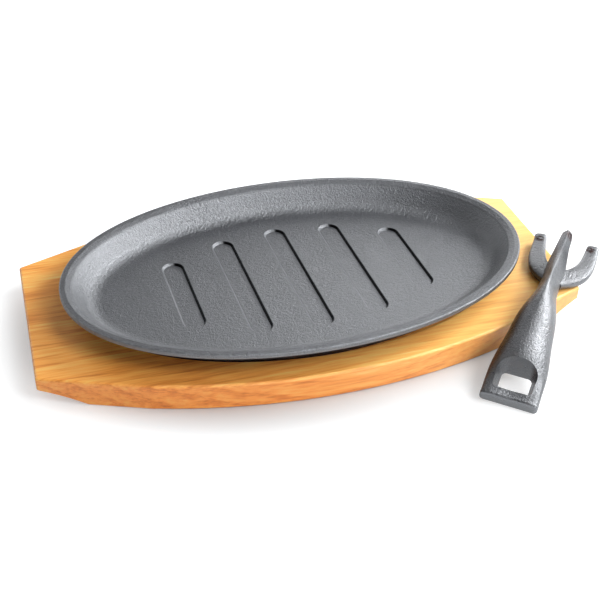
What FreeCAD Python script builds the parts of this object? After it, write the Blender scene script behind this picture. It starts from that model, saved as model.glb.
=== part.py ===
import FreeCAD, Part
import math
import os

from FreeCAD import Vector

# Wooden board: long octagon with bowed sides, millimetres throughout
board_length = 316.0
board_width = 180.0
board_thickness = 15.5
board_end_width = 106.0
board_shoulder_width = 150.0
board_shoulder_inset = 57.0
board_corner_radius = 1.6
board_top_round = 1.3
board_bottom_round = 0.8
finger_reach = 26.0
finger_height = 7.6
finger_bulge = 1.3
recess_depth = 3.0
recess_clearance = 3.9
recess_round = 0.7

# Iron platter: every ring is the floor oval pushed outwards by one distance
floor_half_length = 115.0
floor_half_width = 64.0
floor_to_rim = 22.4
platter_height = 19.7
well_depth = 13.6
band_width = 3.3
bevel_width = 3.2
bevel_drop = 1.3
wall_angle = 50.0
well_fillet = 12.0
lip_height = 3.0
lip_overhang = 3.2
lip_top_round = 0.9
lip_bottom_round = 0.7
band_inner_round = 0.5
outer_wall_round = 2.0
foot_inset = 16.6
foot_height = 3.3
foot_ring_width = 7.0
foot_ring_depth = 2.0
foot_round = 0.6
platter_turn = 1.9
platter_shift_x = -1.0
platter_shift_y = -1.2

# Grooves in the platter floor
groove_width = 13.2
groove_depth = 1.4
groove_draft = 1.1
groove_pitch = 34.4
groove_length_outer = 66.0
groove_length_second = 95.0
groove_length_middle = 103.0
groove_edge_round = 0.45

# Gripper: local X runs from the tail to the jaws, local Z stands off the tail's underside
tail_half_width = 15.6
tail_top = 7.2
tail_round = 1.3
bar_station = 6.5
bar_top = 7.7
rail_station = 24.0
rail_half_width = 15.3
rail_top = 14.4
grip_station = 42.0
grip_half_width = 12.9
grip_top = 15.8
mid_station = 58.0
mid_half_width = 11.0
mid_top = 16.5
mid_bottom = 0.2
bend_station = 73.0
bend_half_width = 7.9
bend_top = 16.2
bend_bottom = -2.4
neck_station = 85.0
neck_half_width = 6.1
neck_top = 13.9
neck_bottom = -5.4
root_station = 96.0
root_half_width = 5.0
root_top = 10.9
root_bottom = -7.8
slot_start = 5.7
slot_length = 15.2
slot_half_width = 7.6
slot_flare = 6.7
slot_far_lean = 3.6
slot_corner = 1.6
slot_mouth_corner = 12.5
prong_web_station = 111.0
prong_mid_station = 118.0
prong_fore_station = 127.0
prong_tip_station = 134.8
prong_web_half_width = 5.4
prong_mid_half_width = 4.5
prong_fore_half_width = 3.85
prong_tip_half_width = 3.25
prong_web_top = 6.8
prong_mid_top = 5.0
prong_fore_top = 3.1
prong_tip_top = 1.4
prong_root_depth = 15.5
prong_web_depth = 12.8
prong_mid_depth = 8.0
prong_fore_depth = 6.4
prong_tip_depth = 5.2
prong_tip_round = 2.8
horn_root_x = 99.0
horn_root_y = 0.2
horn_web_x = 103.0
horn_web_y = 4.4
horn_elbow_x = 106.6
horn_elbow_y = 8.7
horn_bend_x = 112.8
horn_bend_y = 12.5
horn_side_x = 123.0
horn_side_y = 15.0
horn_tip_x = 140.6
horn_tip_y = 16.2
horn_offset = -1.1
horn_level = 19.35
horn_tip_rise = 1.0
horn_root_half_width = 5.9
horn_elbow_half_width = 6.0
horn_side_half_width = 4.6
horn_tip_half_width = 3.6
horn_root_half_height = 2.7
horn_tip_half_height = 2.3
horn_tip_round = 2.2

# Where the gripper lies: tail on the table, neck over the board's sloping corner edge
gripper_end_inset = 78.6
gripper_neck_ahead = 54.6
gripper_tail_reach = 60.6
gripper_heading = 50.3
gripper_pitch = 14.42
gripper_roll = 1.5

ring_points = 48

# Rounded blunt end as (share of its length, share of the full section)
dome = [(0.0, 1.0), (0.35, 0.94), (0.65, 0.78), (0.88, 0.52), (1.0, 0.25)]

# Half outlines of the gripper's body as (share of half width, share of height), underside first
flat_bar = [(0.86, 0.0), (0.95, 0.05), (1.0, 0.2), (1.0, 0.55), (0.97, 0.88), (0.86, 0.985)]
round_back = [(0.6, 0.0), (0.78, 0.035), (0.93, 0.13), (1.0, 0.33), (0.86, 0.64), (0.52, 0.89)]
sharp_back = [(0.6, 0.0), (0.78, 0.035), (0.93, 0.13), (1.0, 0.3), (0.64, 0.64), (0.16, 0.955)]


def ring(grow, height):
    """Closed smooth curve a distance grow outside the floor oval."""
    points = []
    for i in range(ring_points):
        t = 2.0 * math.pi * i / ring_points
        nx = floor_half_width * math.cos(t)
        ny = floor_half_length * math.sin(t)
        size = math.hypot(nx, ny)
        x = floor_half_length * math.cos(t) + grow * nx / size
        y = floor_half_width * math.sin(t) + grow * ny / size
        points.append(Vector(x, y, height))
    curve = Part.BSplineCurve()
    curve.interpolate(Points=points, PeriodicFlag=True)
    return Part.Wire([curve.toShape()])


def ring_face(grow, height):
    return Part.Face(ring(grow, height))


def ring_column(grow, low, high):
    return ring_face(grow, low).extrude(Vector(0, 0, high - low))


def stacked(levels):
    """Solid with straight walls between rings given as (inset, height)."""
    wires = [ring(floor_to_rim - inset, height) for inset, height in levels]
    return Part.makeLoft(wires, True, True)


def ring_edges(shape, height, inset=None, tolerance=0.02):
    """Edges of a solid that lie flat at one height, optionally at one inset."""
    found = []
    for edge in shape.Edges:
        box = edge.BoundBox
        flat = box.ZLength < tolerance and abs(box.ZMin - height) < tolerance
        if not flat:
            continue
        if inset is not None:
            reach = floor_half_length + floor_to_rim - inset
            if abs(box.XMax - reach) > 0.3:
                continue
        found.append(edge)
    return found


def rounded(shape, radius, edges):
    return shape.makeFillet(radius, edges)


def single(shape):
    """The one solid of a shape, refined."""
    clean = shape.removeSplitter()
    solids = sorted(clean.Solids, key=lambda s: s.Volume)
    return solids[-1]


def make_board():
    hl = board_length / 2.0
    he = board_end_width / 2.0
    hs = board_shoulder_width / 2.0
    hw = board_width / 2.0
    sx = hl - board_shoulder_inset
    a = Vector(-hl, -he, 0)
    b = Vector(-sx, -hs, 0)
    c = Vector(sx, -hs, 0)
    d = Vector(hl, -he, 0)
    e = Vector(hl, he, 0)
    f = Vector(sx, hs, 0)
    g = Vector(-sx, hs, 0)
    h = Vector(-hl, he, 0)
    edges = [
        Part.makeLine(a, b),
        Part.Arc(b, Vector(0, -hw, 0), c).toShape(),
        Part.makeLine(c, d),
        Part.makeLine(d, e),
        Part.makeLine(e, f),
        Part.Arc(f, Vector(0, hw, 0), g).toShape(),
        Part.makeLine(g, h),
        Part.makeLine(h, a),
    ]
    slab = Part.Face(Part.Wire(edges)).extrude(Vector(0, 0, board_thickness))
    upright = []
    for edge in slab.Edges:
        box = edge.BoundBox
        if box.ZLength > board_thickness * 0.9 and box.XLength < 0.01:
            upright.append(edge)
    slab = rounded(slab, board_corner_radius, upright)

    # The recess leaves a wall beside it that limits both roundings of its top
    grow = floor_to_rim - foot_inset + recess_clearance
    wall_left = hw - floor_half_width - grow
    top = [k for k in slab.Edges if k.BoundBox.ZMin > board_thickness - 0.01]
    slab = rounded(slab, min(board_top_round, 0.4 * wall_left), top)
    low = [k for k in slab.Edges if k.BoundBox.ZMax < 0.01]
    slab = rounded(slab, board_bottom_round, low)

    # Hollow beneath each end for the fingers, cut along a shallow arc
    for side in (-1.0, 1.0):
        inner = hl - finger_reach
        outer = hl + 6.0
        slope = finger_height / finger_reach
        p0 = Vector(side * inner, -hw, 0)
        p2 = Vector(side * outer, -hw, finger_height + 6.0 * slope * 0.7)
        mid = (p0 + p2) * 0.5
        p1 = Vector(mid.x, -hw, mid.z + finger_bulge)
        p3 = Vector(side * outer, -hw, -5.0)
        p4 = Vector(side * inner, -hw, -5.0)
        profile = Part.Wire([
            Part.Arc(p0, p1, p2).toShape(),
            Part.makeLine(p2, p3),
            Part.makeLine(p3, p4),
            Part.makeLine(p4, p0),
        ])
        cutter = Part.Face(profile).extrude(Vector(0, 2.0 * hw, 0))
        slab = slab.cut(cutter)

    recess = ring_column(grow, board_thickness - recess_depth, board_thickness + 4.0)
    slab = slab.cut(recess)
    mouth = []
    for edge in slab.Edges:
        box = edge.BoundBox
        flat = box.ZLength < 0.02 and abs(box.ZMin - board_thickness) < 0.02
        if flat and abs(box.XMax - floor_half_length - grow) < 0.3:
            mouth.append(edge)
    slab = rounded(slab, min(recess_round, 0.4 * wall_left), mouth)
    return single(slab)


def groove_outline(x, length, width, height):
    """Slot outline with round ends at one height."""
    r = width / 2.0
    s = length / 2.0 - r
    a = Vector(x - r, -s, height)
    b = Vector(x, -s - r, height)
    c = Vector(x + r, -s, height)
    d = Vector(x + r, s, height)
    e = Vector(x, s + r, height)
    f = Vector(x - r, s, height)
    return Part.Wire([
        Part.Arc(a, b, c).toShape(),
        Part.makeLine(c, d),
        Part.Arc(d, e, f).toShape(),
        Part.makeLine(f, a),
    ])


def make_groove(x, length, floor):
    """Tapered cutter for one groove, wider at the top."""
    rise = 1.0
    spread = groove_draft * (groove_depth + rise) / groove_depth
    low = groove_outline(
        x,
        length - 2.0 * groove_draft,
        groove_width - 2.0 * groove_draft,
        floor - groove_depth,
    )
    high = groove_outline(
        x,
        length - 2.0 * groove_draft + 2.0 * spread,
        groove_width - 2.0 * groove_draft + 2.0 * spread,
        floor + rise,
    )
    return Part.makeLoft([low, high], True, True)


def make_platter():
    top = platter_height
    floor = top - well_depth
    lip_low = top - lip_height
    wall_top = lip_low - 0.35
    bevel_inset = band_width + bevel_width
    bevel_low = top - bevel_drop
    run = (bevel_low - floor) / math.tan(math.radians(wall_angle))
    floor_inset = bevel_inset + run

    # Outside: foot, sloping wall, overhanging lip
    outside = stacked([
        (foot_inset, 0.0),
        (foot_inset, foot_height),
        (lip_overhang, wall_top),
        (0.0, lip_low),
        (0.0, top),
    ])
    outside = rounded(outside, outer_wall_round, ring_edges(outside, foot_height))
    outside = rounded(outside, outer_wall_round * 0.7, ring_edges(outside, wall_top))
    outside = rounded(outside, lip_bottom_round, ring_edges(outside, lip_low))
    outside = rounded(outside, lip_top_round, ring_edges(outside, top))
    outside = rounded(outside, foot_round, ring_edges(outside, 0.0))

    # Well: bevel below the flat band, steep wall, wide fillet into the floor
    well = stacked([
        (floor_inset, floor),
        (bevel_inset, bevel_low),
        (band_width, top),
        (band_width, top + 3.0),
    ])
    well = rounded(well, well_fillet, ring_edges(well, floor))
    well = rounded(well, 1.6, ring_edges(well, bevel_low))
    bowl = outside.cut(well)
    rim = ring_edges(bowl, top, band_width)
    bowl = rounded(bowl, band_inner_round, rim)

    grooves = [
        (-2.0 * groove_pitch, groove_length_outer),
        (-groove_pitch, groove_length_second),
        (0.0, groove_length_middle),
        (groove_pitch, groove_length_second),
        (2.0 * groove_pitch, groove_length_outer),
    ]
    for x, length in grooves:
        bowl = bowl.cut(make_groove(x, length, floor))
    lips = []
    for edge in bowl.Edges:
        box = edge.BoundBox
        flat = box.ZLength < 0.02
        at_floor = abs(box.ZMin - floor) < 0.02
        inside = box.YLength < groove_length_middle and box.XLength < groove_width * 1.2
        if flat and at_floor and inside:
            lips.append(edge)
    bowl = rounded(bowl, groove_edge_round, lips)

    # Shallow hollow underneath leaves a foot ring
    inner = floor_to_rim - foot_inset - foot_ring_width
    hollow = ring_column(inner, -2.0, foot_ring_depth)
    bowl = bowl.cut(hollow)
    bowl = rounded(bowl, foot_round, ring_edges(bowl, 0.0, foot_inset + foot_ring_width))

    platter = single(bowl)
    platter.rotate(Vector(0, 0, 0), Vector(0, 0, 1), platter_turn)
    seat = board_thickness - recess_depth
    platter.translate(Vector(platter_shift_x, platter_shift_y, seat))
    return platter


def smooth_loft(wires):
    return Part.makeLoft(wires, True, False)


def between(first, last, share):
    return first + (last - first) * share


def blended(first, second, share):
    """Half outline a share of the way from one to another."""
    return [(between(a[0], b[0], share), between(a[1], b[1], share)) for a, b in zip(first, second)]


def body_section(x, half_width, bottom, top, outline):
    """Closed section from a half outline, mirrored: flat underside, curved sides and back."""
    h = top - bottom
    points = [Vector(x, half_width * across, bottom + h * up) for across, up in outline]
    points.append(Vector(x, 0, top))
    for across, up in reversed(outline):
        points.append(Vector(x, -half_width * across, bottom + h * up))
    curve = Part.BSplineCurve()
    curve.interpolate(points)
    return Part.Wire([curve.toShape(), Part.makeLine(points[-1], points[0])])


def prong_section(x, half_width, top, depth):
    """Closed gabled section with a narrow crest."""
    flank = [(0.14, -0.03), (0.6, -0.32), (1.0, -0.7), (0.8, -0.95)]
    points = [Vector(x, 0, top)]
    for across, down in flank:
        points.append(Vector(x, half_width * across, top + depth * down))
    points.append(Vector(x, 0, top - depth))
    for across, down in reversed(flank):
        points.append(Vector(x, -half_width * across, top + depth * down))
    curve = Part.BSplineCurve()
    curve.interpolate(Points=points, PeriodicFlag=True)
    return Part.Wire([curve.toShape()])


def make_prong():
    """Upper jaw: deep where it joins the horns, blunt and rounded at its tip."""
    tip = prong_tip_station
    levels = [
        (neck_station, neck_half_width * 0.7, neck_top - 0.8, prong_root_depth),
        (root_station, root_half_width, root_top, prong_root_depth),
        (prong_web_station, prong_web_half_width, prong_web_top, prong_web_depth),
        (prong_mid_station, prong_mid_half_width, prong_mid_top, prong_mid_depth),
        (prong_fore_station, prong_fore_half_width, prong_fore_top, prong_fore_depth),
        (tip, prong_tip_half_width, prong_tip_top, prong_tip_depth),
    ]
    prong = smooth_loft([prong_section(*level) for level in levels])
    cap = []
    for ahead, size in dome:
        x = tip + prong_tip_round * ahead
        lower = prong_tip_top - prong_tip_depth * 0.5 * (1.0 - size)
        cap.append(prong_section(x, prong_tip_half_width * size, lower, prong_tip_depth * size))
    return prong.fuse(Part.makeLoft(cap, True, True))


def horn_section(centre, ahead, half_width, half_height):
    """Rounded flat section across the horn's path, its long axis level."""
    across = Vector(-ahead.y, ahead.x, 0)
    across.normalize()
    up = ahead.cross(across)
    up.normalize()
    outline = [
        (1.0, 0.0),
        (0.93, 0.7),
        (0.6, 0.97),
        (0.0, 1.0),
        (-0.6, 0.97),
        (-0.93, 0.7),
        (-1.0, 0.0),
        (-0.93, -0.7),
        (-0.6, -0.97),
        (0.0, -1.0),
        (0.6, -0.97),
        (0.93, -0.7),
    ]
    points = []
    for side, rise in outline:
        points.append(centre + across * (half_width * side) + up * (half_height * rise))
    curve = Part.BSplineCurve()
    curve.interpolate(Points=points, PeriodicFlag=True)
    return Part.Wire([curve.toShape()])


def level_height(x, height):
    """Local height that lies at a given height above the table."""
    lean = math.radians(gripper_pitch)
    return (height - x * math.sin(lean)) / math.cos(lean)


def make_horn(side):
    """One curved lower jaw, swept along a smooth path above the board."""
    plan = [
        (horn_root_x, horn_root_y, 0.0),
        (horn_web_x, horn_web_y, 0.0),
        (horn_elbow_x, horn_elbow_y, 0.0),
        (horn_bend_x, horn_bend_y, 0.0),
        (horn_side_x, horn_side_y, 0.1),
        (horn_tip_x, horn_tip_y, 1.0),
    ]
    widths = [
        (0.0, horn_root_half_width),
        (0.35, horn_elbow_half_width),
        (0.65, horn_side_half_width),
        (1.0, horn_tip_half_width),
    ]
    nodes = []
    for x, y, share in plan:
        rise = level_height(x, horn_level + horn_tip_rise * share)
        nodes.append(Vector(x, side * y + horn_offset * (1.0 - share), rise))
    path = Part.BSplineCurve()
    path.interpolate(nodes)
    first = path.FirstParameter
    last = path.LastParameter
    wires = []
    steps = 12
    for i in range(steps):
        share = i / (steps - 1.0)
        p = between(first, last, share)
        width = horn_tip_half_width
        for (low, wide), (high, narrow) in zip(widths, widths[1:]):
            if low <= share < high:
                width = between(wide, narrow, (share - low) / (high - low))
        height = between(horn_root_half_height, horn_tip_half_height, share)
        wires.append(horn_section(path.value(p), path.tangent(p)[0], width, height))
    ahead = path.tangent(last)[0]
    cap = []
    for reach, size in dome:
        centre = path.value(last) + ahead * (horn_tip_round * reach)
        cap.append(horn_section(
            centre,
            ahead,
            horn_tip_half_width * between(1.0, size, 0.8),
            horn_tip_half_height * size,
        ))
    return smooth_loft(wires).fuse(Part.makeLoft(cap, True, True))


def make_body():
    """Tail bar, domed grip and crested neck in one smooth loft, with a rounded tail face."""
    stations = [
        (tail_round, tail_half_width, 0.0, tail_top, flat_bar),
        (bar_station, tail_half_width, 0.0, bar_top, blended(flat_bar, round_back, 0.12)),
        (rail_station, rail_half_width, 0.0, rail_top, round_back),
        (grip_station, grip_half_width, 0.0, grip_top, round_back),
        (mid_station, mid_half_width, mid_bottom, mid_top, round_back),
        (bend_station, bend_half_width, bend_bottom, bend_top, blended(round_back, sharp_back, 0.5)),
        (neck_station, neck_half_width, neck_bottom, neck_top, sharp_back),
        (root_station, root_half_width, root_bottom, root_top, sharp_back),
    ]
    body = smooth_loft([body_section(*station) for station in stations])
    face = []
    for share in (0.0, 0.3, 1.0):
        inset = tail_round * (1.0 - math.sqrt(1.0 - (1.0 - share) ** 2))
        face.append(body_section(
            tail_round * share,
            tail_half_width - inset,
            inset,
            tail_top - inset,
            flat_bar,
        ))
    return body.fuse(Part.makeLoft(face, True, True))


def slot_outline(start, end, half_width, far_corner, height):
    """Rectangle with small round corners at its start and larger ones at its end."""
    near = slot_corner
    far = far_corner
    w = half_width
    cut = 1.0 - math.sqrt(0.5)

    def corner(a, b, c):
        return Part.Arc(Vector(*a, height), Vector(*b, height), Vector(*c, height)).toShape()

    def side(a, b):
        return Part.makeLine(Vector(*a, height), Vector(*b, height))

    return Part.Wire([
        side((start, w - near), (start, near - w)),
        corner((start, near - w), (start + near * cut, near * cut - w), (start + near, -w)),
        side((start + near, -w), (end - far, -w)),
        corner((end - far, -w), (end - far * cut, far * cut - w), (end, far - w)),
        side((end, far - w), (end, w - far)),
        corner((end, w - far), (end - far * cut, w - far * cut), (end - far, w)),
        side((end - far, w), (start + near, w)),
        corner((start + near, w), (start + near * cut, w - near * cut), (start, w - near)),
    ])


def make_slot():
    """Tapered cutter for the hanging slot, its mouth arched towards the grip."""
    low = -2.0
    high = rail_top + 6.0
    end = slot_start + slot_length
    floor = slot_outline(slot_start, end, slot_half_width, slot_corner, low)
    mouth = slot_outline(
        slot_start,
        end + slot_far_lean,
        slot_half_width + slot_flare,
        slot_mouth_corner,
        high,
    )
    return Part.makeLoft([floor, mouth], True, True)


def make_gripper():
    body = make_body().cut(make_slot())
    whole = body.fuse([make_prong(), make_horn(-1.0), make_horn(1.0)])
    gripper = single(whole)
    gripper.rotate(Vector(0, 0, 0), Vector(1, 0, 0), gripper_roll)
    gripper.rotate(Vector(0, 0, 0), Vector(0, 1, 0), -gripper_pitch)
    gripper.rotate(Vector(0, 0, 0), Vector(0, 0, 1), gripper_heading)
    lowest = min(point.z for point in gripper.tessellate(0.05)[0])
    tail_x = board_length / 2.0 - gripper_end_inset
    edge_share = (board_shoulder_inset - gripper_end_inset + gripper_neck_ahead) / board_shoulder_inset
    edge_y = -between(board_shoulder_width, board_end_width, edge_share) / 2.0
    tail_y = edge_y - gripper_tail_reach
    gripper.translate(Vector(tail_x, tail_y, -lowest))
    return gripper


def main():
    os.makedirs("parts", exist_ok=True)
    nodes = {
        "board": make_board(),
        "platter": make_platter(),
        "gripper": make_gripper(),
    }
    for name, shape in nodes.items():
        box = shape.BoundBox
        print(name, "valid", shape.isValid(), "volume", round(shape.Volume / 1000.0, 1), "cm3")
        print("  x", round(box.XMin, 2), round(box.XMax, 2), "y", round(box.YMin, 2), round(box.YMax, 2),
              "z", round(box.ZMin, 2), round(box.ZMax, 2), "faces", len(shape.Faces))
        shape.exportStep("parts/" + name + ".step")


main()
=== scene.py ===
import math

import bpy
import numpy as np
from mathutils import Matrix, Vector

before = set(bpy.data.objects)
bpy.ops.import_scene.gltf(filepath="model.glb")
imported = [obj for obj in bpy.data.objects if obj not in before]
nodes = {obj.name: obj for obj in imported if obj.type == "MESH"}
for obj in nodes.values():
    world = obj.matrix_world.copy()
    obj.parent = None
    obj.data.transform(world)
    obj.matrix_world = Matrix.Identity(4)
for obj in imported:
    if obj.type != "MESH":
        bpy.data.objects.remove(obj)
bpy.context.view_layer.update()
print("frame loaded:", sorted(nodes))


# Helpers for shader nodes

def newMaterial(name):
    # an empty material with one Principled shader on its output
    material = bpy.data.materials.new(name)
    material.use_nodes = True
    tree = material.node_tree
    tree.nodes.clear()
    out = tree.nodes.new("ShaderNodeOutputMaterial")
    shader = tree.nodes.new("ShaderNodeBsdfPrincipled")
    tree.links.new(shader.outputs["BSDF"], out.inputs["Surface"])
    return material, tree, shader


def plug(tree, socket, value):
    # links a socket to another one, or gives it a plain value
    if isinstance(value, bpy.types.NodeSocket):
        tree.links.new(value, socket)
    else:
        socket.default_value = value


def add(tree, kind, inputs=None, **settings):
    # one node: its properties first, then its sockets by name or number
    node = tree.nodes.new(kind)
    for key, value in settings.items():
        setattr(node, key, value)
    for key, value in (inputs or {}).items():
        plug(tree, node.inputs[key], value)
    return node


def mathNode(tree, operation, a, b=None, clamp=False):
    # a and b put through one operation, held between 0 and 1 if clamp is set
    inputs = {0: a} if b is None else {0: a, 1: b}
    return add(tree, "ShaderNodeMath", inputs, operation=operation, use_clamp=clamp).outputs[0]


def total(tree, a, b):
    # a plus b
    return mathNode(tree, "ADD", a, b)


def product(tree, a, b):
    # a times b
    return mathNode(tree, "MULTIPLY", a, b)


def larger(tree, a, b):
    # the larger of a and b
    return mathNode(tree, "MAXIMUM", a, b)


def mapRange(tree, value, low, high, outLow=0.0, outHigh=1.0, shape="LINEAR"):
    # low to high becomes outLow to outHigh, and stays there beyond
    inputs = {"Value": value, "From Min": low, "From Max": high, "To Min": outLow, "To Max": outHigh}
    return add(tree, "ShaderNodeMapRange", inputs, interpolation_type=shape).outputs["Result"]


def ramp(tree, factor, stops):
    # colours strung along 0 to 1, each stop a place and a colour
    node = add(tree, "ShaderNodeValToRGB", {"Fac": factor})
    points = node.color_ramp.elements
    while len(points) < len(stops):
        points.new(0.5)
    for point, (place, colour) in zip(points, stops):
        point.position = place
        point.color = colour + (1.0,)
    return node.outputs["Color"]


def blendColour(tree, factor, a, b, mode="MIX"):
    # a, turned into b by factor; a Mix node's colours are its sockets 6 and 7, and its result is 2
    node = add(tree, "ShaderNodeMix", {0: factor}, data_type="RGBA", blend_type=mode)
    for index, value in ((6, a), (7, b)):
        plug(tree, node.inputs[index], value + (1.0,) if isinstance(value, tuple) else value)
    return node.outputs[2]


def objectPlace(tree):
    # the point on the object, in metres
    return add(tree, "ShaderNodeTexCoord").outputs["Object"]


def parts(tree, vector):
    # a vector's X, Y and Z
    return add(tree, "ShaderNodeSeparateXYZ", {"Vector": vector}).outputs


def distanceTo(tree, place, point):
    # the length of place minus point
    return add(tree, "ShaderNodeVectorMath", {0: place, 1: point}, operation="DISTANCE").outputs["Value"]


def noise(tree, vector, scale, detail=2.0, roughness=0.5):
    # cloudy noise about 0.5, scale lumps a metre
    inputs = {"Vector": vector, "Scale": scale, "Detail": detail, "Roughness": roughness}
    return add(tree, "ShaderNodeTexNoise", inputs).outputs["Fac"]


def spread(tree, value, reach):
    # a noise value about 0.5 becomes one about 0, reach times as wide
    return product(tree, mathNode(tree, "SUBTRACT", value, 0.5), reach)


def stretched(tree, place, scale, turn=0.0):
    # place times scale, turned about the vertical by a few degrees
    inputs = {"Vector": place, "Scale": scale, "Rotation": (0.0, 0.0, math.radians(turn))}
    return add(tree, "ShaderNodeMapping", inputs).outputs["Vector"]


def bump(tree, height, distance, normal=None):
    # a height from 0 to 1 stands up by distance, in metres, on the bumps before it
    inputs = {"Height": height, "Distance": distance}
    if normal is not None:
        inputs["Normal"] = normal
    return add(tree, "ShaderNodeBump", inputs).outputs["Normal"]


def dress(node, material):
    # the CAD mesh keeps its shape and gets this material alone
    mesh = nodes[node].data
    mesh.materials.clear()
    mesh.materials.append(material)


# Board: lacquered wood, with rings cut lengthways and fine fibres

wood = {
    "tones": [(0.0, (0.50, 0.130, 0.016)), (0.28, (0.77, 0.257, 0.037)), (0.55, (0.97, 0.405, 0.076)),
              (0.78, (0.99, 0.540, 0.130)), (1.0, (0.99, 0.69, 0.24))],
    "toneLevel": 0.64,
    "toneShares": {"broad": 0.55, "streak": 0.60, "thread": 0.85, "fibre": 0.55, "eachRing": 0.08},
    # lumps a metre along and across the board, turn in degrees, detail, roughness
    "wander": (5.0, 16.0, 0.0, 2.0, 0.5),
    "jitter": (26.0, 260.0, 0.0, 2.0, 0.5),
    "broad": (7.0, 30.0, 0.0, 2.0, 0.5),
    "streak": (8.0, 330.0, 1.0, 3.0, 0.6),
    "thread": (42.0, 720.0, -0.5, 2.0, 0.55),
    "fibre": (70.0, 1700.0, 1.0, 2.0, 0.6),
    "ringAxis": (0.020, -0.060),      # the log's heart, across the board and below it
    "ringSpacing": 0.0052,
    "ringWander": 0.018,
    "ringJitter": 0.00182,
    "ringDepth": 0.20,
    "lateWood": (0.30, 0.90), "lateEnd": (1.0, 0.92),    # where a ring darkens, and breaks off
    # painted light towards the gripper's end: its colour, where it starts, and its share
    "paintedLightColour": (0.99, 0.70, 0.25), "paintedLightFrom": (-0.02, 0.15), "paintedLightShare": 0.45,
    # the sawn sides' tint, redder as the wood is and darker as painted shade, and the height where it starts
    "sideTint": (0.95, 0.79, 0.74), "sideHeight": (0.0150, 0.0135),
    "roughness": (0.39, 0.55),
    "coat": 0.35,
    "coatRoughness": 0.24,
    "fibreSpread": (0.3, 0.7),
    "fibreBump": 0.00008,
}


def woodNoise(tree, place, pattern):
    # noise drawn out along the board, by the pattern's line in the table
    along, across, turn, detail, roughness = wood[pattern]
    return noise(tree, stretched(tree, place, (along, across, across), turn), 1.0, detail, roughness)


def makeWood():
    # ring number: the distance from the log's heart, pushed about by wander and jitter, over the spacing;
    # tone: the level, less the ring's late wood, plus each pattern times its share
    material, tree, shader = newMaterial("boardWood")
    place = objectPlace(tree)
    split = parts(tree, place)
    across = mathNode(tree, "SUBTRACT", split["Y"], wood["ringAxis"][0])
    above = mathNode(tree, "SUBTRACT", split["Z"], wood["ringAxis"][1])
    reach = total(tree, mathNode(tree, "POWER", across, 2.0), mathNode(tree, "POWER", above, 2.0))
    reach = mathNode(tree, "SQRT", reach)
    reach = total(tree, reach, spread(tree, woodNoise(tree, place, "wander"), wood["ringWander"]))
    reach = total(tree, reach, spread(tree, woodNoise(tree, place, "jitter"), wood["ringJitter"]))
    ring = mathNode(tree, "DIVIDE", reach, wood["ringSpacing"])
    within = mathNode(tree, "FRACT", ring)
    late = product(tree, mapRange(tree, within, *wood["lateWood"]), mapRange(tree, within, *wood["lateEnd"]))
    patterns = {name: woodNoise(tree, place, name) for name in ("broad", "streak", "thread", "fibre")}
    patterns["eachRing"] = add(tree, "ShaderNodeTexWhiteNoise", {"W": mathNode(tree, "FLOOR", ring)},
                               noise_dimensions="1D").outputs["Value"]
    tone = mathNode(tree, "SUBTRACT", wood["toneLevel"], product(tree, late, wood["ringDepth"]))
    for name, share in wood["toneShares"].items():
        tone = total(tree, tone, spread(tree, patterns[name], share))
    colour = ramp(tree, tone, wood["tones"])
    # painted light: paler towards the gripper's end, where the light falls; and the sawn sides redder than
    # the top, as sawn wood is, and darker, as painted shade
    paintedLight = mapRange(tree, split["X"], *wood["paintedLightFrom"], 0.0, wood["paintedLightShare"])
    colour = blendColour(tree, paintedLight, colour, wood["paintedLightColour"])
    side = mapRange(tree, split["Z"], *wood["sideHeight"])
    tinted = blendColour(tree, 1.0, colour, wood["sideTint"], "MULTIPLY")
    colour = blendColour(tree, side, colour, tinted)
    tree.links.new(colour, shader.inputs["Base Color"])
    rough = mapRange(tree, patterns["fibre"], *wood["fibreSpread"], *wood["roughness"])
    tree.links.new(rough, shader.inputs["Roughness"])
    shader.inputs["Coat Weight"].default_value = wood["coat"]
    shader.inputs["Coat Roughness"].default_value = wood["coatRoughness"]
    tree.links.new(bump(tree, patterns["fibre"], wood["fibreBump"]), shader.inputs["Normal"])
    return material


# Both castings: sand cast iron, blackened and oiled

iron = {
    "dark": (0.027, 0.028, 0.032),
    "light": (0.050, 0.052, 0.058),
    "mottle": (0.35, 0.65),           # where the grey turns from dark to light
    "ior": 1.9,
    "specular": 0.85,
    "gleam": (0.92, 0.955, 1.0),
    # lumps a metre and height in metres, from the cloudy grey to the grains of sand
    "cloud": 34.0,
    "dimple": 150.0, "dimpleBump": 0.00014,
    "pebble": 620.0, "pebbleBump": 0.00030, "pebbleSpread": (0.3, 0.7),
    "sand": 1500.0, "sandBump": 0.00030,
}


def castIron(name, finish):
    # half cloud and half sand choose the grey; dimples carry pebbles, and those carry the sand
    material, tree, shader = newMaterial(name)
    place = objectPlace(tree)
    cloud = noise(tree, place, iron["cloud"], detail=3.0, roughness=0.6)
    sand = noise(tree, place, iron["sand"], roughness=0.6)
    pebble = noise(tree, place, iron["pebble"])
    dimple = noise(tree, place, iron["dimple"])
    tone = total(tree, product(tree, cloud, 0.5), product(tree, sand, 0.5))
    colour = blendColour(tree, mapRange(tree, tone, *iron["mottle"]), iron["dark"], iron["light"])
    colour = blendColour(tree, 1.0, colour, finish["tone"], "MULTIPLY")
    shader.inputs["IOR"].default_value = iron["ior"]
    shader.inputs["Specular IOR Level"].default_value = iron["specular"]
    shader.inputs["Specular Tint"].default_value = iron["gleam"] + (1.0,)
    rough = mapRange(tree, pebble, *iron["pebbleSpread"], *finish["roughness"])
    tree.links.new(rough, shader.inputs["Roughness"])
    normal = bump(tree, dimple, iron["dimpleBump"])
    normal = bump(tree, pebble, iron["pebbleBump"] * finish["grain"], normal)
    normal = bump(tree, sand, iron["sandBump"] * finish["grain"], normal)
    tree.links.new(normal, shader.inputs["Normal"])
    return material, tree, shader, place, colour, normal


# Platter

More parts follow.
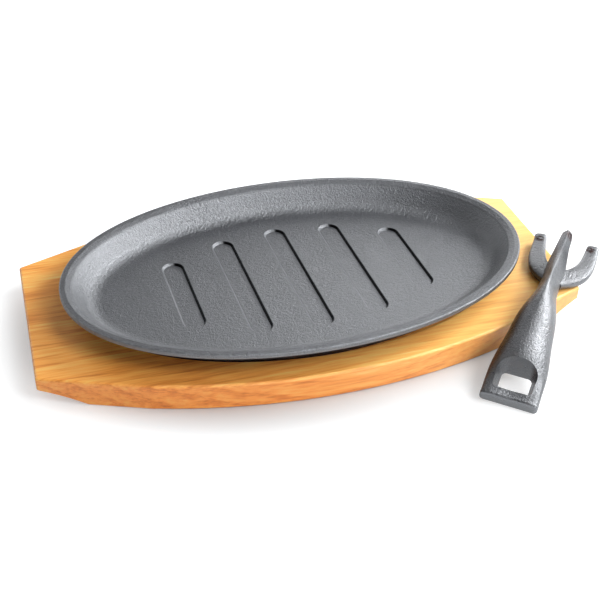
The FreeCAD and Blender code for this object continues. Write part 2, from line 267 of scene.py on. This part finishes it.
platterFinish = {
    "roughness": (0.32, 0.42), "grain": 1.2,
    "tone": (1.0, 1.0, 1.0),
    # the lip's side, and the painted highlight on its outer corner: colour, height, and how far it faces out
    "lipSide": (0.070, 0.069, 0.073), "lipHeight": (0.0282, 0.0292), "lipOutward": (0.03, 0.05),
    "paintedEdgeHighlight": (0.13, 0.135, 0.145), "edgeHeight": (0.0315, 0.0321), "edgeOutward": (0.012, 0.03),
    "edgeBreaks": 420.0, "edgeBroken": (0.42, 0.60),
    # the flat band's height, and the share of it dulled as painted shade
    "bandHeight": (0.0300, 0.0308), "bandShadeShare": 0.28,
    # painted shade on the groove walls: colour, height, and how far a wall faces the left end and up
    "grooveShadeColour": (0.008, 0.008, 0.009), "grooveShadeHeight": (0.0187, 0.0183),
    "grooveShadeFacing": (-0.12, -0.32), "grooveShadeUpward": (-0.05, 0.05),
    "roughPatch": (-0.050, 0.080, 0.028), "patchReach": (0.042, 0.010),
    "pits": 300.0, "pitEdge": (0.52, 0.64), "pitDepth": 0.00022,
}


def makePlatterIron():
    # outward is the normal's X times the place's X, plus the same of Y; each mark is a product of ranges
    material, tree, shader, place, colour, normal = castIron("platterIron", platterFinish)
    split = parts(tree, place)
    tilt = parts(tree, add(tree, "ShaderNodeNewGeometry").outputs["Normal"])
    outward = total(tree, product(tree, tilt["X"], split["X"]), product(tree, tilt["Y"], split["Y"]))

    def ranged(value, key, *out):
        return mapRange(tree, value, *platterFinish[key], *out)

    # the lip's side is lighter, and its outer corner carries a painted highlight, in a broken line
    lip = product(tree, ranged(split["Z"], "lipHeight"), ranged(outward, "lipOutward"))
    colour = blendColour(tree, lip, colour, platterFinish["lipSide"])
    corner = product(tree, ranged(split["Z"], "edgeHeight"), ranged(outward, "edgeOutward"))
    broken = ranged(noise(tree, place, platterFinish["edgeBreaks"], roughness=0.6), "edgeBroken")
    colour = blendColour(tree, product(tree, corner, broken), colour, platterFinish["paintedEdgeHighlight"])
    # painted shade sits on the groove walls that face the left end, away from the light, and not on the
    # outside, which faces down
    grooveShade = product(tree, ranged(tilt["X"], "grooveShadeFacing"), ranged(split["Z"], "grooveShadeHeight"))
    grooveShade = product(tree, grooveShade, ranged(tilt["Z"], "grooveShadeUpward"))
    colour = blendColour(tree, grooveShade, colour, platterFinish["grooveShadeColour"])
    tree.links.new(colour, shader.inputs["Base Color"])
    # as a metal, dark iron hardly shines: all of the groove's painted shade, and a share of the band as
    # painted shade
    bandShade = ranged(split["Z"], "bandHeight", 0.0, platterFinish["bandShadeShare"])
    tree.links.new(larger(tree, grooveShade, bandShade), shader.inputs["Metallic"])
    # one rough patch of casting pits on the far wall
    patch = ranged(distanceTo(tree, place, platterFinish["roughPatch"]), "patchReach")
    pits = ranged(noise(tree, place, platterFinish["pits"]), "pitEdge")
    pitted = bump(tree, product(tree, patch, pits), -platterFinish["pitDepth"], normal)
    tree.links.new(pitted, shader.inputs["Normal"])
    return material


# Gripper

gripperFinish = {
    "roughness": (0.27, 0.36), "grain": 0.95,
    "tone": (0.55, 0.53, 0.53),
    "patina": (0.060, 0.034, 0.024), "patinaPatches": 60.0, "patinaEdge": (0.56, 0.72), "patinaShare": 0.45,
    # the flank that faces the platter, away from the light: its direction, its colour of painted shade and
    # painted wood reflection, and where and how far it is painted
    "flank": (-0.80, 0.60, 0.0), "flankShadeColour": (0.040, 0.022, 0.018), "flankShadeEdge": (0.36, 0.78), "flankShadeShare": 0.8,
    # chips at the tips of the prong and the horns: place and reach of each, whole up to chipCore of it
    "chip": (0.032, 0.014, 0.011), "chipSpots": 300.0, "chipEdge": (0.36, 0.46), "chipCore": 0.6,
    "chips": [((0.1632, -0.0258, 0.0325), 0.0048), ((0.1765, -0.0275, 0.0222), 0.0042),
              ((0.1530, -0.0085, 0.0226), 0.0036)],
    # the prong's middle, and how near and how high it is dulled as painted shade
    "prong": (0.1560, -0.0310, 0.0300), "prongReach": (0.022, 0.010), "prongHeight": (0.0250, 0.0275),
    "prongShadeShare": 0.60,
}


def makeGripperIron():
    # brown patches, then painted shade on the flank, then chips: nearness to a tip times spots
    material, tree, shader, place, colour = castIron("gripperIron", gripperFinish)[:5]
    cloudy = noise(tree, place, gripperFinish["patinaPatches"], detail=4.0, roughness=0.65)
    patches = mapRange(tree, cloudy, *gripperFinish["patinaEdge"], 0.0, gripperFinish["patinaShare"])
    colour = blendColour(tree, patches, colour, gripperFinish["patina"])
    facing = add(tree, "ShaderNodeNewGeometry").outputs["Normal"]
    turned = add(tree, "ShaderNodeVectorMath", {0: facing, 1: gripperFinish["flank"]},
                 operation="DOT_PRODUCT").outputs["Value"]
    # painted shade, tinted by a painted reflection of the wood, on the flank that faces away from the light
    flankShade = mapRange(tree, turned, *gripperFinish["flankShadeEdge"], 0.0, gripperFinish["flankShadeShare"])
    colour = blendColour(tree, flankShade, colour, gripperFinish["flankShadeColour"])
    spots = mapRange(tree, noise(tree, place, gripperFinish["chipSpots"]), *gripperFinish["chipEdge"])
    chipped = 0.0
    for tip, reach in gripperFinish["chips"]:
        near = mapRange(tree, distanceTo(tree, place, tip), reach, reach * gripperFinish["chipCore"])
        chipped = larger(tree, product(tree, near, spots), chipped)
    colour = blendColour(tree, chipped, colour, gripperFinish["chip"])
    tree.links.new(colour, shader.inputs["Base Color"])
    # as a metal, dark iron hardly shines: the chips, the flank's painted shade, and a share of the prong as
    # painted shade
    # painted shade dulls the prong near its middle
    near = mapRange(tree, distanceTo(tree, place, gripperFinish["prong"]), *gripperFinish["prongReach"],
                    0.0, gripperFinish["prongShadeShare"])
    prong = product(tree, mapRange(tree, parts(tree, place)["Z"], *gripperFinish["prongHeight"]), near)
    tree.links.new(larger(tree, prong, larger(tree, chipped, flankShade)), shader.inputs["Metallic"])
    return material


dress("board", makeWood())
dress("platter", makePlatterIron())
dress("gripper", makeGripperIron())
print("materials done")


# Studio: paper floor, low white wall and the room's plain light

studio = {
    "roomLight": 0.055,
    "paper": (0.60, 0.622, 0.635),
    "paperRoughness": 0.9,
    "paperSpecular": 0.1,
    "floorDrop": 0.0002,
    # how much the paper glows beside the board, around it and far off, by ellipses about the board: painted
    # light around the board that lifts its cast shadow, and the white backdrop far off
    "ellipse": (0.17, 0.125),
    "besideGlow": 0.03, "aroundGlow": 0.66, "farGlow": 1.0,
    "aroundReach": (0.74, 1.10), "farReach": (1.5, 9.0),
    "wallReach": 6.0, "wallHeight": 1.3,
}
white = (1.0, 1.0, 1.0, 1.0)


def gridSurface(name, points):
    # points is (rows, columns, 3): neighbouring grid points are joined by quads
    rows, columns = points.shape[:2]
    index = np.arange(rows * columns).reshape(rows, columns)
    faces = np.stack([index[:-1, :-1], index[:-1, 1:], index[1:, 1:], index[1:, :-1]], -1).reshape(-1, 4)
    mesh = bpy.data.meshes.new(name)
    mesh.from_pydata(points.reshape(-1, 3).tolist(), [], faces.tolist())
    mesh.update()
    surface = bpy.data.objects.new(name, mesh)
    bpy.context.scene.collection.objects.link(surface)
    return surface


def seenRays(tree):
    # 1 for what the camera, gloss or glass sees, 0 for what only lights
    rays = add(tree, "ShaderNodeLightPath").outputs
    seen = total(tree, rays["Is Camera Ray"], rays["Is Glossy Ray"])
    return mathNode(tree, "ADD", seen, rays["Is Transmission Ray"], clamp=True)


def makeFloor():
    # flat square: (u, v, a hair below the board), out to the wall
    reach = studio["wallReach"]
    u, v = np.meshgrid(np.linspace(-reach, reach, 9), np.linspace(-reach, reach, 9))
    floor = gridSurface("floor", np.stack([u, v, np.full_like(u, -studio["floorDrop"])], -1))
    material, tree, shader = newMaterial("floorPaper")
    shader.inputs["Base Color"].default_value = studio["paper"] + (1.0,)
    shader.inputs["Roughness"].default_value = studio["paperRoughness"]
    shader.inputs["Specular IOR Level"].default_value = studio["paperSpecular"]
    # size of the ellipse through a point: the length of (x / long half, y / short half)
    longHalf, shortHalf = studio["ellipse"]
    scaled = stretched(tree, objectPlace(tree), (1.0 / longHalf, 1.0 / shortHalf, 1.0))
    ellipse = distanceTo(tree, scaled, (0.0, 0.0, 0.0))
    # painted light: the paper glows more away from the board, lifting its cast shadow
    around = mapRange(tree, ellipse, *studio["aroundReach"], studio["besideGlow"],
                      studio["aroundGlow"], "SMOOTHSTEP")
    far = mapRange(tree, ellipse, *studio["farReach"], 0.0,
                   studio["farGlow"] - studio["aroundGlow"], "SMOOTHSTEP")
    shader.inputs["Emission Color"].default_value = white
    glow = product(tree, seenRays(tree), total(tree, around, far))
    tree.links.new(glow, shader.inputs["Emission Strength"])
    floor.data.materials.append(material)


def makeWall():
    # low round wall: (reach cos u, reach sin u, height v)
    u, v = np.meshgrid(np.linspace(0.0, 2.0 * math.pi, 97), np.linspace(0.0, 1.0, 3))
    reach = studio["wallReach"]
    wall = gridSurface("wall", np.stack([reach * np.cos(u), reach * np.sin(u), studio["wallHeight"] * v], -1))
    material, tree, shader = newMaterial("wallPaper")
    shader.inputs["Base Color"].default_value = (0.0, 0.0, 0.0, 1.0)
    shader.inputs["Specular IOR Level"].default_value = 0.0
    shader.inputs["Emission Color"].default_value = white
    tree.links.new(seenRays(tree), shader.inputs["Emission Strength"])
    wall.data.materials.append(material)


def makeRoom():
    # the same plain level from every side
    world = bpy.data.worlds.new("studioWorld")
    world.use_nodes = True
    backdrop = world.node_tree.nodes["Background"]
    backdrop.inputs["Color"].default_value = white
    backdrop.inputs["Strength"].default_value = studio["roomLight"]
    bpy.context.scene.world = world


# Lamps: watts, place, width and height of the softbox; all look at the middle of the board

lamps = {
    "rightSoftbox": (16.5, (1.00, 0.15, 0.65), (0.70, 0.60)),
    "rightFront": (6.8, (0.57, -0.68, 0.80), (0.50, 0.50)),
    "frontStrip": (4.8, (0.15, -1.15, 0.20), (0.90, 0.30)),
    "backStrip": (3.4, (0.48, 1.03, 0.37), (0.50, 0.50)),
    "leftBack": (2.2, (-0.55, 0.85, 0.60), (0.60, 0.60)),
    "overhead": (3.2, (0.45, 0.0, 1.11), (0.60, 0.60)),
    "frontOverhead": (0.9, (-0.30, -0.35, 1.12), (0.60, 0.60)),
}
lampAim = (0.0, 0.0, 0.02)


def addLamp(name, power, place, size):
    # a flat softbox turned from its place towards the aim
    data = bpy.data.lights.new(name, "AREA")
    data.shape = "RECTANGLE"
    data.energy = power
    data.size, data.size_y = size
    lamp = bpy.data.objects.new(name, data)
    lamp.location = place
    lamp.rotation_euler = (Vector(lampAim) - Vector(place)).to_track_quat("-Z", "Y").to_euler()
    bpy.context.scene.collection.objects.link(lamp)


# The photo's view, fitted to the board's outline and the platter's rim; angles in radians

view = {"eye": (-0.1494, -0.4859, 0.3709), "yaw": 0.301, "pitch": 0.632, "roll": 0.022,
        "lens": 62.68, "sensor": 36.0}


def addCamera():
    # looks along yaw from +Y to the right and pitch down, then rolls about that line
    yaw, pitch, roll = view["yaw"], view["pitch"], view["roll"]
    forward = Vector((math.sin(yaw) * math.cos(pitch), math.cos(yaw) * math.cos(pitch), -math.sin(pitch)))
    level = Vector((math.cos(yaw), -math.sin(yaw), 0.0))
    up = level.cross(forward)
    right = level * math.cos(roll) + up * math.sin(roll)
    above = up * math.cos(roll) - level * math.sin(roll)
    data = bpy.data.cameras.new("photoCamera")
    data.lens = view["lens"]
    data.sensor_width = view["sensor"]
    camera = bpy.data.objects.new("photoCamera", data)
    turn = Matrix((right, above, -forward)).transposed().to_4x4()
    camera.matrix_world = Matrix.Translation(Vector(view["eye"])) @ turn
    bpy.context.scene.collection.objects.link(camera)
    bpy.context.scene.camera = camera


makeFloor()
makeWall()
makeRoom()
for name, settings in lamps.items():
    addLamp(name, *settings)
addCamera()
bpy.context.scene.view_settings.view_transform = 'Standard'
print("studio done:", len(lamps), "lamps")
